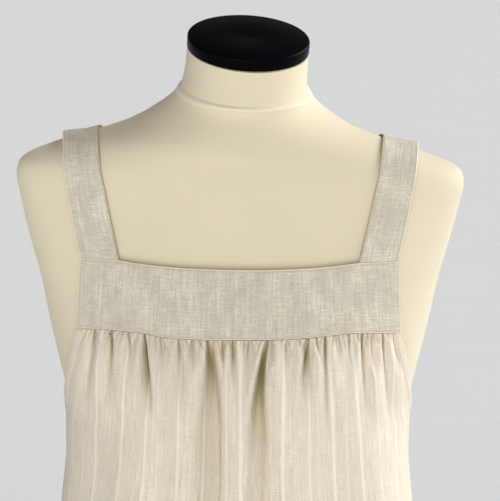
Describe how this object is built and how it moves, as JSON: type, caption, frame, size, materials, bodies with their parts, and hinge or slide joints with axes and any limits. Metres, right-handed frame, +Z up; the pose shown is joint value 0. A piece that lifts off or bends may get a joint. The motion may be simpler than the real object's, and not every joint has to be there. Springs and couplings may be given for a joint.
{
  "type": "pinafore dress on a dress form",
  "caption": "Linen pinafore dress with plain yokes, straight shoulder straps and gathered striped skirt, on a limbless jersey dress form with a capped neck and a round base.",
  "frame": {"origin": "centre of the round base's underside, on the floor", "axes": "+Z up, -Y towards the front of the dress, +X to the viewer's right"},
  "size_m": [0.4895, 0.388, 1.4997],
  "materials": {
    "plain_linen": "matt plain-weave linen, slubbed",
    "striped_linen": "matt plain-weave linen with narrow cream stripes",
    "jersey": "fine cream jersey, stretched smooth",
    "lacquer": "black lacquer, satin sheen",
    "steel": "satin",
    "paint": "black, satin"
  },
  "bodies": {
    "root": {"form_body": "jersey", "neck_cap": "lacquer", "stand_base": "paint", "stand_hub": "paint", "stand_pole": "steel", "stand_collar": "paint", "front_yoke": "plain_linen", "back_yoke": "plain_linen", "strap_left": "plain_linen", "strap_right": "plain_linen", "front_skirt": "striped_linen", "back_skirt": "striped_linen"}
  },
  "joints": []
}
